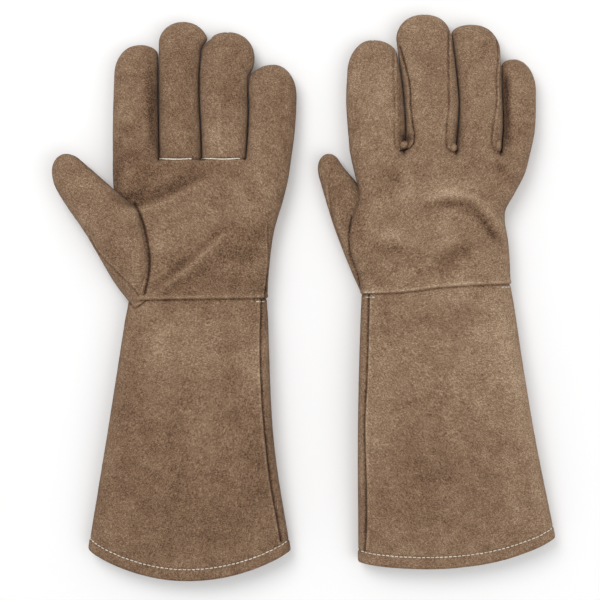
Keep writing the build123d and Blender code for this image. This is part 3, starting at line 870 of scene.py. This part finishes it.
def spread(tree, value, low, high, to_low=0.0, to_high=1.0):
    """Maps a range of values onto another, clamped."""
    node = tree.nodes.new("ShaderNodeMapRange")
    for socket, number in zip(("From Min", "From Max", "To Min", "To Max"), (low, high, to_low, to_high)):
        node.inputs[socket].default_value = number
    tree.links.new(value, node.inputs["Value"])
    return node.outputs["Result"]


def combine(tree, operation, a, b):
    node = tree.nodes.new("ShaderNodeMath")
    node.operation = operation
    for socket, value in zip(node.inputs, (a, b)):
        if isinstance(value, (int, float)):
            socket.default_value = value
        else:
            tree.links.new(value, socket)
    return node.outputs[0]


def ramp(tree, value, stops):
    node = tree.nodes.new("ShaderNodeValToRGB")
    elements = node.color_ramp.elements
    while len(elements) < len(stops):
        elements.new(0.5)
    for element, (at, colour) in zip(elements, stops):
        element.position = at
        element.color = (*colour, 1)
    tree.links.new(value, node.inputs["Fac"])
    return node.outputs["Color"]


def weighted(tree, *layers):
    """The sum of some values, each times its weight."""
    total = None
    for value, weight in layers:
        term = combine(tree, "MULTIPLY", value, weight)
        total = term if total is None else combine(tree, "ADD", total, term)
    return total


def cloth(tree, shader, value, stops, roughness, sheen):
    """A soft surface coloured along a ramp."""
    tree.links.new(ramp(tree, value, stops), shader.inputs["Base Color"])
    shader.inputs["Roughness"].default_value = roughness
    shader.inputs["Sheen Weight"].default_value = sheen


def bump(tree, shader, height, strength, distance):
    node = tree.nodes.new("ShaderNodeBump")
    node.inputs["Strength"].default_value = strength
    node.inputs["Distance"].default_value = distance
    tree.links.new(height, node.inputs["Height"])
    tree.links.new(node.outputs["Normal"], shader.inputs["Normal"])


def linear(red, green, blue):
    """A colour given as it looks on a screen, 0 to 255."""
    def channel(value):
        value /= 255
        return value / 12.92 if value <= 0.04045 else ((value + 0.055) / 1.055) ** 2.4
    return channel(red), channel(green), channel(blue)


SUEDE_STOPS = [
    (0.0, linear(54, 37, 27)),
    (0.22, linear(95, 70, 52)),
    (0.42, linear(123, 96, 74)),
    (0.58, linear(141, 115, 91)),
    (0.78, linear(166, 140, 115)),
    (1.0, linear(198, 174, 148)),
]


def suede_material():
    """Brushed split leather: mottled nap, with short fibres that catch the light."""
    material, tree, shader = node_material("suede")
    place = coordinates(tree)
    broad = spread(tree, noise_texture(tree, place, 22, 3.0, 0.55), 0.32, 0.68, -0.5, 0.5)
    cloudy = spread(tree, noise_texture(tree, place, 95, 3.0, 0.6), 0.3, 0.7, -0.5, 0.5)
    fibre = spread(tree, noise_texture(tree, place, 620, 2.0, 0.7), 0.3, 0.7, -0.5, 0.5)
    speck = spread(tree, noise_texture(tree, place, 1250, 2.0, 0.75), 0.34, 0.66, -0.5, 0.5)
    # The tone attribute carries painted shade and highlights besides the nap's own uneven colour
    tone_node = tree.nodes.new("ShaderNodeAttribute")
    tone_node.attribute_name = "tone"
    tone = tone_node.outputs["Fac"]
    value = weighted(tree, (broad, 0.10), (cloudy, 0.16), (fibre, 0.24), (speck, 0.52), (tone, 0.42))
    cloth(tree, shader, combine(tree, "ADD", value, 0.52), SUEDE_STOPS, 0.95, 0.12)
    shader.inputs["Specular IOR Level"].default_value = 0.15
    shader.inputs["Sheen Roughness"].default_value = 0.6
    shader.inputs["Sheen Tint"].default_value = (0.75, 0.6, 0.48, 1)
    height = combine(tree, "ADD", fibre, combine(tree, "MULTIPLY", cloudy, 1.5))
    bump(tree, shader, height, 0.8, 0.0006)
    return material


def fleece_material():
    """A cream fleece lining of small curled tufts."""
    material, tree, shader = node_material("fleece")
    place = coordinates(tree)
    tufts = spread(tree, noise_texture(tree, place, 420, 3.0, 0.65), 0.3, 0.7)
    broad = spread(tree, noise_texture(tree, place, 60, 2.0), 0.3, 0.7, -0.15, 0.15)
    value = combine(tree, "ADD", tufts, broad)
    stops = [(0.0, linear(150, 140, 120)), (0.5, linear(206, 198, 180)), (1.0, linear(232, 226, 212))]
    cloth(tree, shader, value, stops, 0.98, 0.3)
    bump(tree, shader, tufts, 0.8, 0.0009)
    return material


def canvas_material():
    """Unbleached cotton canvas, in a plain weave."""
    material, tree, shader = node_material("canvas")
    place = coordinates(tree)
    waves = []
    for direction in ("X", "Y"):
        wave = tree.nodes.new("ShaderNodeTexWave")
        wave.bands_direction = direction
        wave.inputs["Scale"].default_value = 260
        wave.inputs["Distortion"].default_value = 0.6
        tree.links.new(place, wave.inputs["Vector"])
        waves.append(wave.outputs["Fac"])
    weave = combine(tree, "MULTIPLY", waves[0], waves[1])
    slub = spread(tree, noise_texture(tree, place, 300, 3.0), 0.3, 0.7, -0.25, 0.25)
    value = combine(tree, "ADD", weave, slub)
    stops = [(0.0, linear(150, 138, 112)), (0.6, linear(204, 194, 168)), (1.0, linear(226, 218, 198))]
    cloth(tree, shader, value, stops, 0.9, 0.0)
    bump(tree, shader, weave, 0.6, 0.0004)
    return material


def thread_material():
    """Off-white sewing thread with twisted plies."""
    material, tree, shader = node_material("thread")
    place = coordinates(tree)
    plies = spread(tree, noise_texture(tree, place, 1500, 2.0), 0.3, 0.7)
    soil = spread(tree, noise_texture(tree, place, 120, 2.0), 0.35, 0.75, 0.0, 0.35)
    value = combine(tree, "SUBTRACT", plies, soil)
    stops = [(0.0, linear(188, 172, 150)), (0.5, linear(232, 224, 210)), (1.0, linear(250, 246, 238))]
    cloth(tree, shader, value, stops, 0.7, 0.2)
    bump(tree, shader, plies, 0.5, 0.0002)
    return material


SUEDE, FLEECE, CANVAS, THREAD = suede_material(), fleece_material(), canvas_material(), thread_material()


# ---- Stitches ----


def stitch_row(name, places, normals, size, seed):
    """Separate short stitches along a line that lies on the leather."""
    radius, length, gap = size
    places, normals = np.array(places), np.array(normals)
    steps = np.linalg.norm(places[1:] - places[:-1], axis=1)
    at = np.concatenate([[0], np.cumsum(steps)])
    random = np.random.default_rng(seed)
    points, faces = [], []
    start = 0.0
    while start + length <= at[-1]:
        inner = np.linspace(1.35, length - 1.35, max(round(length - 2.7), 0) + 1)
        t = start + np.concatenate([[0, 0.27, 0.81], inner, length - np.array([0.81, 0.27, 0])])
        # A stitch dives into the leather at both ends
        to_end = np.clip(np.minimum(t - start, start + length - t) / 0.9, 0, 1)
        rise = radius * (0.9 - 2.1 * (1 - to_end) ** 2)
        line = np.stack([np.interp(t, at, places[:, k]) for k in range(3)], axis=1)
        up = np.stack([np.interp(t, at, normals[:, k]) for k in range(3)], axis=1)
        up /= np.linalg.norm(up, axis=1, keepdims=True)
        way = line[-1] - line[0]
        way /= np.linalg.norm(way)
        across = np.cross(way, up)
        line = line + up * rise[:, None] + across * random.normal(0, 0.06)
        thick = radius * (0.6 + 0.4 * to_end)
        for centre, u, a, r in zip(line, up, across, thick):
            for k in range(STITCH_SIDES):
                angle = 2 * pi * k / STITCH_SIDES
                points.append(centre + r * (cos(angle) * a + 0.8 * sin(angle) * u))
        first = len(points) - STITCH_SIDES * len(line)
        rings = np.arange(first, len(points)).reshape(len(line), STITCH_SIDES).tolist()
        for a, b in zip(rings[:-1], rings[1:]):
            for k in range(STITCH_SIDES):
                j = (k + 1) % STITCH_SIDES
                faces.append((a[k], a[j], b[j], b[k]))
        faces.append(tuple(rings[0][::-1]))
        faces.append(tuple(rings[-1]))
        start += length + gap
    points = np.array(points)
    points[:, 2] = np.maximum(points[:, 2], STITCH_LOWEST)
    return make_piece(name, points, faces, THREAD)


def on_surface(tree, line, face=1):
    """Points of the leather above or below a line of (x, y), and its normals there."""
    places, normals = [], []
    for x, y in line:
        start = Vector((x, y, 100 * face))
        hit, normal, _, _ = tree.ray_cast(start, Vector((0, 0, -face)))
        if hit is not None:
            places.append(np.array(hit))
            normals.append(np.array(normal if normal.z * face > 0 else -normal))
    return places, normals


# ---- Building both gloves ----


SHOWN_AS = {"leather": "skin", "lining": "inner"}  # how the shown pieces are named
STUFF = {"leather": (SUEDE, "suede"), "lining": (FLEECE, "fleece"), "cuff_lining": (CANVAS, "canvas")}
NODES = {
    "hand_leather": ["palm_panel", "back_panel"],
    "cuff_leather": ["cuff_palm_panel", "cuff_back_panel", "cuff_side_welts"],
    "thumb_root_lining": [],
}  # the CAD nodes that a piece replaces, where it isn't the one of its own name


def blend_joint(piece, joint, before, after):
    """Bakes the piece's place into its mesh."""
    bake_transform(piece)


def finish_piece(piece, slot, *nodes):
    if nodes:
        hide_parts(*nodes)


def add_piece(glove, points, normals, tone, part, suffix, faces):
    """One piece of a skin, attached to the hand or with its place baked in; the CAD nodes it replaces are
    hidden.
    """
    side = glove.side
    label = f"{part}_{suffix}"
    material, slot = STUFF.get(label) or STUFF[suffix]
    piece = make_piece(f"{side}_{part}_{SHOWN_AS[suffix]}", points, faces, material, normals, tone)
    digit = part.split("_")[0]
    if part in ("hand", "thumb_root"):
        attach(piece, f"{side}_hand")
    elif part == "cuff":
        blend_joint(piece, f"{side}_wrist", *WRIST_BEND)
    elif part == "thumb_base":
        blend_joint(piece, f"{side}_thumb_knuckle", *THUMB_KNUCKLE_BEND)
    elif part == "thumb_tip":
        blend_joint(piece, f"{side}_thumb_tip_joint", *THUMB_TIP_BEND)
    elif part.endswith("base"):
        blend_joint(piece, f"{side}_{digit}_knuckle", *KNUCKLE_BEND)
    else:
        blend_joint(piece, f"{side}_{digit}_middle_joint", *MIDDLE_BEND)
    finish_piece(piece, slot, *(f"{side}_{node}" for node in NODES.get(label, [label])))


def split_skin(glove, skin, points, tone, suffix):
    """The pieces of one skin: hand, cuff and the two parts of each finger."""
    normals = vertex_normals(points, skin.faces)
    for part in dict.fromkeys(skin.parts):
        add_piece(glove, points, normals, tone, part, suffix, faces_of(skin, part))


def thumb_pieces(glove, skin, points, tone, suffix, hide_tree):
    """The pieces of the thumb, without what lies deep inside the hand."""
    normals = vertex_normals(points, skin.faces)
    for part in ("thumb_root", "thumb_base", "thumb_tip"):
        faces = faces_of(skin, part)
        if part == "thumb_root":
            faces = [face for face in faces if not deep_inside(points[list(face)].mean(axis=0), hide_tree)]
        add_piece(glove, points, normals, tone, part, suffix, faces)


def deep_inside(point, tree, depth=2.5):
    """Whether a point lies more than a few millimetres under a closed skin."""
    nearest, normal, _, distance = tree.find_nearest(Vector(point))
    inward = (Vector(point) - nearest).dot(normal) < 0
    return inward and distance > depth


def moved_in(skin):
    """The skin's points, moved in to where the lining lies."""
    points, _ = skin.arrays()
    return points - vertex_normals(points, skin.faces) * LINING_INSET


def build_glove(glove):
    """Every piece of one glove: leather, lining, thread and small lumps."""
    skin, cuff = glove_skin(glove, COLUMNS, STEP)
    points, tone = shape_leather(skin, glove)
    tree = BVHTree.FromPolygons(points.tolist(), skin.faces)
    normals = vertex_normals(points, skin.faces)
    points, tone = add_mouth(skin, cuff, points, normals, tone)
    split_skin(glove, skin, points, tone, "leather")

    thumb = Skin()
    thumb_rows(thumb, glove, COLUMNS, STEP)
    thumb_points, thumb_tone = shape_leather(thumb, glove, thumb=True)
    thumb_pieces(glove, thumb, thumb_points, thumb_tone, "leather", tree)

    lining, lining_cuff = glove_skin(glove, LINING_COLUMNS, LINING_STEP)
    lining_points = moved_in(lining)
    rows_out = {v for ring in lining_cuff[-ceil(CANVAS_START / LINING_STEP):] for v in ring}
    keep = [not rows_out.intersection(face) for face in lining.faces]
    lining.faces = [face for face, kept in zip(lining.faces, keep) if kept]
    lining.parts = [part for part, kept in zip(lining.parts, keep) if kept]
    split_skin(glove, lining, lining_points, None, "lining")

    thumb_lining = Skin()
    thumb_rows(thumb_lining, glove, LINING_COLUMNS, LINING_STEP)
    thumb_pieces(glove, thumb_lining, moved_in(thumb_lining), None, "lining", tree)

    stitches(glove, tree)
    bunched_ends(glove, tree)
    wrist_tacks(glove, tree)


def stitches(glove, tree):
    """The rows of thread: the hem, and the roots of the two middle fingers."""
    side = glove.side
    (lx, ly), (rx, ry) = glove.cuff_left[2], glove.cuff_right[2]
    share = np.linspace(0.012, 0.988, 160)
    hem_x = lx + share * (rx - lx)
    hem_y = ly + share * (ry - ly) + hem_line(glove, share) + HEM_RISE
    upper = on_surface(tree, zip(hem_x, hem_y))
    under = on_surface(tree, zip(hem_x[::-1], hem_y[::-1]), -1)
    for label, (places, normals) in (("hem_thread_upper", upper), ("hem_thread_under", under)):
        piece = stitch_row(f"{side}_{label}", places, normals, HEM_STITCH, HEM_SEED)
        blend_joint(piece, f"{side}_wrist", *WRIST_BEND)
        finish_piece(piece, "thread", f"{side}_cuff_thread")
    face = 1 if glove.palm_up else -1
    first, second, third = (slit(glove.crotch) for slit in glove.slits)
    spans = [(first + 0.4, second - 2.6), (second + 1.2, third - 0.4)]
    for label, (start, end) in zip(("one", "two"), spans):
        share = np.linspace(0, 1, 60)
        line = zip(start + share * (end - start), glove.crotch - 1.0 - 1.2 * np.sin(pi * share))
        places, normals = on_surface(tree, line, face)
        size = (ROOT_THREAD_RADIUS, (end - start) * 0.995, 0.0)
        piece = stitch_row(f"{side}_root_thread_{label}", places, normals, size, ROOT_SEED)
        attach(piece, f"{side}_hand")
        finish_piece(piece, "thread", f"{side}_finger_seam_thread")


BUNCHES = {
    # at, half sizes and turn of the bunched ends of the strips between the fingers
    "left": [],
    "right": [
        ((-24.0, 104.4), (3.6, 2.9), 18),
        ((12.0, 102.8), (2.6, 3.8), 4),
        ((44.4, 103.8), (2.5, 4.6), -4),
    ],
}
BUNCH_HEIGHT, BUNCH_SINK = 2.3, 0.9
TACKS = {
    # x from and to, and how far above the wrist seam
    "left": [(42.5, 49.5, -1.9)],
    "right": [(-51.5, -42.5, -2.0), (-52.5, -43.5, 1.7), (46.5, 53.5, -1.7)],
}


def bunched_ends(glove, tree):
    """Small gathered lumps of leather where the strips between the fingers are sewn in."""
    side = glove.side
    for number, (at, size, turn) in enumerate(BUNCHES[side]):
        places, _ = on_surface(tree, [(at[0] - size[0], at[1]), (at[0] + size[0], at[1])])
        base = max(place[2] for place in places) - BUNCH_SINK
        rings, around = 10, 28
        angle = radians(turn)
        points, faces = [], []
        for k in range(rings + 1):
            lift, out = sin(pi / 2 * k / rings), cos(pi / 2 * k / rings)
            for j in range(around):
                a = 2 * pi * j / around
                fold = 1 + 0.05 * sin(3 * a + 2 * number) * out + 0.02 * sin(7 * a)
                u, v = size[0] * cos(a) * out * fold, size[1] * sin(a) * out * fold
                x = at[0] + u * cos(angle) - v * sin(angle)
                y = at[1] + u * sin(angle) + v * cos(angle)
                height = BUNCH_HEIGHT * lift * (1 + 0.06 * sin(4 * a + number))
                points.append((x, y, base + height - BUNCH_SINK))
        for k in range(rings):
            for j in range(around):
                i = (j + 1) % around
                a, b = k * around, (k + 1) * around
                faces.append((a + j, a + i, b + i, b + j))
        points = np.array(points)
        # Painted shade round the foot of each lump and a painted highlight on its top
        lift = (points[:, 2] - points[:, 2].min()) / np.ptp(points[:, 2])
        tone = glove.tone - 0.6 + 0.75 * smooth(lift, 0.3, 0.95)
        piece = make_piece(f"{side}_bunch_{number}", points, faces, SUEDE, tone=tone)
        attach(piece, f"{side}_hand")
        finish_piece(piece, "suede", f"{side}_back_panel")


def wrist_tacks(glove, tree):
    """Short rows of thread where the wrist seam is fastened off."""
    side = glove.side
    for number, (start, end, above) in enumerate(TACKS[side]):
        xs = np.linspace(start, end, 24)
        places, normals = on_surface(tree, zip(xs, glove.wrist(xs) + above))
        piece = stitch_row(f"{side}_wrist_tack_{number}", places, normals, TACK_STITCH, TACK_SEED)
        if above > 0:
            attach(piece, f"{side}_hand")
        else:
            blend_joint(piece, f"{side}_wrist", *WRIST_BEND)
        finish_piece(piece, "thread", f"{side}_cuff_thread")


# ---- Stage ----


CAMERA_AT = (-0.0034, -0.0019, 1.045)
LIGHTS = (  # place, size and power
    ((-0.7, 0.9, 1.6), 1.1, 17.0),
    ((0.9, -0.5, 1.5), 1.4, 8.0),
)


def build_stage():
    """A pale floor, soft light from above and a camera straight over the gloves."""
    bpy.ops.mesh.primitive_plane_add(size=6)
    floor = bpy.context.object
    floor.name = "floor"
    material, _, shader = node_material("floor")
    shader.inputs["Base Color"].default_value = (0.93, 0.93, 0.93, 1)
    shader.inputs["Roughness"].default_value = 0.9
    floor.data.materials.append(material)

    world = bpy.data.worlds.new("studio")
    world.use_nodes = True
    world.node_tree.nodes["Background"].inputs["Color"].default_value = (1, 1, 1, 1)
    world.node_tree.nodes["Background"].inputs["Strength"].default_value = 0.62
    bpy.context.scene.world = world
    for name, (place, size, power) in zip(("key", "fill"), LIGHTS):
        light = bpy.data.lights.new(name, "AREA")
        light.size = size
        light.energy = power
        lamp = bpy.data.objects.new(name, light)
        lamp.location = place
        lamp.rotation_euler = (Vector((0, 0, 0)) - Vector(place)).to_track_quat("-Z", "Y").to_euler()
        bpy.context.scene.collection.objects.link(lamp)

    camera = bpy.data.cameras.new("camera")
    camera.lens = 85
    camera.sensor_width = 36
    camera.clip_start = 0.05
    holder = bpy.data.objects.new("camera", camera)
    holder.location = CAMERA_AT
    bpy.context.scene.collection.objects.link(holder)
    bpy.context.scene.camera = holder
    bpy.context.scene.view_settings.view_transform = "Standard"


build_glove(LEFT)
build_glove(RIGHT)
build_stage()
